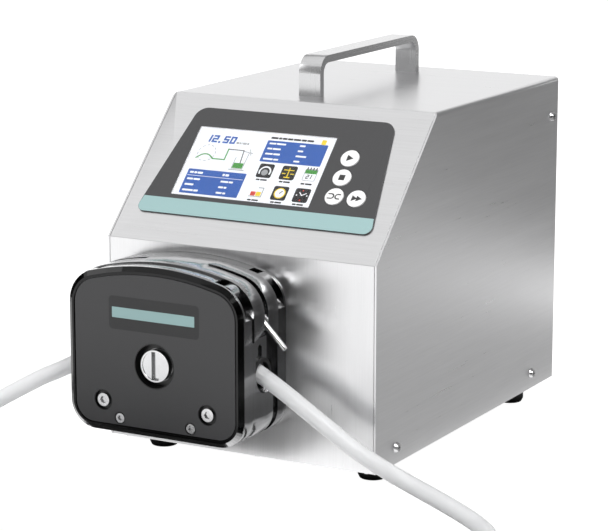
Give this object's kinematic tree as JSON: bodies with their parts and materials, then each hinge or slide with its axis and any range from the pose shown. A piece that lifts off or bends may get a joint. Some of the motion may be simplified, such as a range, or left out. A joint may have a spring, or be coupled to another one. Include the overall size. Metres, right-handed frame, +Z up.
{
  "type": "peristaltic pump",
  "caption": "Bench-top peristaltic pump: steel housing with a sloping touch panel and carrying handle, and a roller pump head with silicone tube",
  "frame": {"origin": "middle of the pump's box on the floor, under the housing; the free hose is left out", "axes": "+X to the operator's right, -Y towards the operator, +Z up"},
  "size_m": [0.5095, 0.613, 0.288],
  "materials": {
    "brushed_steel": "brushed, fine straight grain",
    "handle_steel": "satin",
    "screw_steel": "polished",
    "foot_rubber": "matt",
    "overlay_plastic": "fine matt film with a pale teal band",
    "display_glass": "clear gloss",
    "display_panel": "lit display",
    "circuit_board": "solder mask",
    "key_plastic": "satin white",
    "cast_aluminium": "as machined",
    "black_metal": "gloss black",
    "coupling_brass": "machined",
    "black_plastic": "satin",
    "polished_steel": "polished with faint turning marks",
    "gloss_black": "gloss",
    "dark_panel": "satin film",
    "silicone_tube": "translucent milky"
  },
  "bodies": {
    "housing": {"base_tray": "brushed_steel", "front_panel": "brushed_steel", "top_cover": "brushed_steel", "rear_panel": "brushed_steel", "handle": "handle_steel", "handle_screws": "screw_steel", "foot_front_left": "foot_rubber", "foot_front_right": "foot_rubber", "foot_rear_left": "foot_rubber", "foot_rear_right": "foot_rubber", "housing_screws": "screw_steel", "base_screws": "screw_steel", "control_overlay": "overlay_plastic", "display_window": "display_glass", "display_module": "display_panel", "control_board": "circuit_board", "drive_flange": "cast_aluminium", "drive_motor": "black_metal", "power_supply": "cast_aluminium", "driver_board": "circuit_board", "board_standoffs": "screw_steel", "fan_frame": "black_plastic", "fan_guard": "screw_steel", "mains_inlet": "black_plastic", "power_switch": "black_plastic", "signal_socket": "screw_steel", "head_back_plate": "polished_steel", "head_body": "polished_steel", "head_front_plate": "polished_steel", "head_cover": "polished_steel", "face_panel": "dark_panel", "cover_screws": "screw_steel", "head_mount_screws": "screw_steel", "guide_pins": "screw_steel", "tube_bushes": "gloss_black", "rotor_bearings": "polished_steel", "pump_tube": "silicone_tube", "hose_right": "silicone_tube", "hose_left": "silicone_tube", "hose_coil_right": "silicone_tube", "hose_coil_left": "silicone_tube"},
    "rotor": {"rotor_shaft": "polished_steel", "rotor_cage": "polished_steel", "motor_shaft": "screw_steel", "drive_coupling": "coupling_brass"},
    "roller_1": {"roller_1": "polished_steel"},
    "roller_2": {"roller_2": "polished_steel"},
    "roller_3": {"roller_3": "polished_steel"},
    "roller_4": {"roller_4": "polished_steel"},
    "upper_block": {"tube_bed": "polished_steel"},
    "lever_left": {"cam_shaft_left": "polished_steel", "clamp_lever_left": "polished_steel"},
    "lever_right": {"cam_shaft_right": "polished_steel", "clamp_lever_right": "polished_steel"},
    "start_key": {"key_start": "key_plastic"},
    "stop_key": {"key_stop": "key_plastic"},
    "direction_key": {"key_direction": "key_plastic"},
    "fast_key": {"key_fast": "key_plastic"},
    "fan": {"fan_rotor": "black_plastic"},
    "rocker": {"power_rocker": "black_plastic"}
  },
  "joints": [
    {"name": "rotor_spin", "type": "hinge", "parent": "housing", "child": "rotor", "pos_m": [-0.02823, -0.1555, 0.089], "axis": [0, -1, 0], "continuous": true},
    {"name": "roller_1_spin", "type": "hinge", "parent": "rotor", "child": "roller_1", "pos_m": [-0.00405, -0.1555, 0.11318], "axis": [0, -1, 0], "continuous": true},
    {"name": "roller_2_spin", "type": "hinge", "parent": "rotor", "child": "roller_2", "pos_m": [-0.05242, -0.1555, 0.11318], "axis": [0, -1, 0], "continuous": true},
    {"name": "roller_3_spin", "type": "hinge", "parent": "rotor", "child": "roller_3", "pos_m": [-0.05242, -0.1555, 0.06482], "axis": [0, -1, 0], "continuous": true},
    {"name": "roller_4_spin", "type": "hinge", "parent": "rotor", "child": "roller_4", "pos_m": [-0.00405, -0.1555, 0.06482], "axis": [0, -1, 0], "continuous": true},
    {"name": "block_lift", "type": "slide", "parent": "housing", "child": "upper_block", "axis": [0, 0, 1], "range_m": [0, 0.01]},
    {"name": "lever_right_turn", "type": "hinge", "parent": "upper_block", "child": "lever_right", "pos_m": [0.02627, -0.1555, 0.138], "axis": [0, -1, 0], "range_deg": [0, 180]},
    {"name": "lever_left_turn", "type": "hinge", "parent": "upper_block", "child": "lever_left", "pos_m": [-0.08273, -0.1555, 0.138], "axis": [0, 1, 0], "range_deg": [0, 180]},
    {"name": "start_press", "type": "slide", "parent": "housing", "child": "start_key", "axis": [0, 0.7071, -0.7071], "range_m": [0, 0.0008], "stiffness_N_per_m": 600, "springref_m": -0.0015},
    {"name": "stop_press", "type": "slide", "parent": "housing", "child": "stop_key", "axis": [0, 0.7071, -0.7071], "range_m": [0, 0.0008], "stiffness_N_per_m": 600, "springref_m": -0.0015},
    {"name": "direction_press", "type": "slide", "parent": "housing", "child": "direction_key", "axis": [0, 0.7071, -0.7071], "range_m": [0, 0.0008], "stiffness_N_per_m": 600, "springref_m": -0.0015},
    {"name": "fast_press", "type": "slide", "parent": "housing", "child": "fast_key", "axis": [0, 0.7071, -0.7071], "range_m": [0, 0.0008], "stiffness_N_per_m": 600, "springref_m": -0.0015},
    {"name": "fan_spin", "type": "hinge", "parent": "housing", "child": "fan", "pos_m": [-0.05023, 0.1695, 0.15], "axis": [0, 1, 0], "continuous": true},
    {"name": "switch_rock", "type": "hinge", "parent": "housing", "child": "rocker", "pos_m": [0.05977, 0.1785, 0.096], "axis": [0, 0, 1], "range_deg": [-20, 0]}
  ],
  "couplings": [
    {"joint": "roller_1_spin", "follows": "rotor_spin", "ratio": -5.275},
    {"joint": "roller_2_spin", "follows": "rotor_spin", "ratio": -5.275},
    {"joint": "roller_3_spin", "follows": "rotor_spin", "ratio": -5.275},
    {"joint": "roller_4_spin", "follows": "rotor_spin", "ratio": -5.275},
    {"joint": "lever_right_turn", "follows": "block_lift", "rad_per_m": 314},
    {"joint": "lever_left_turn", "follows": "block_lift", "rad_per_m": 314}
  ]
}
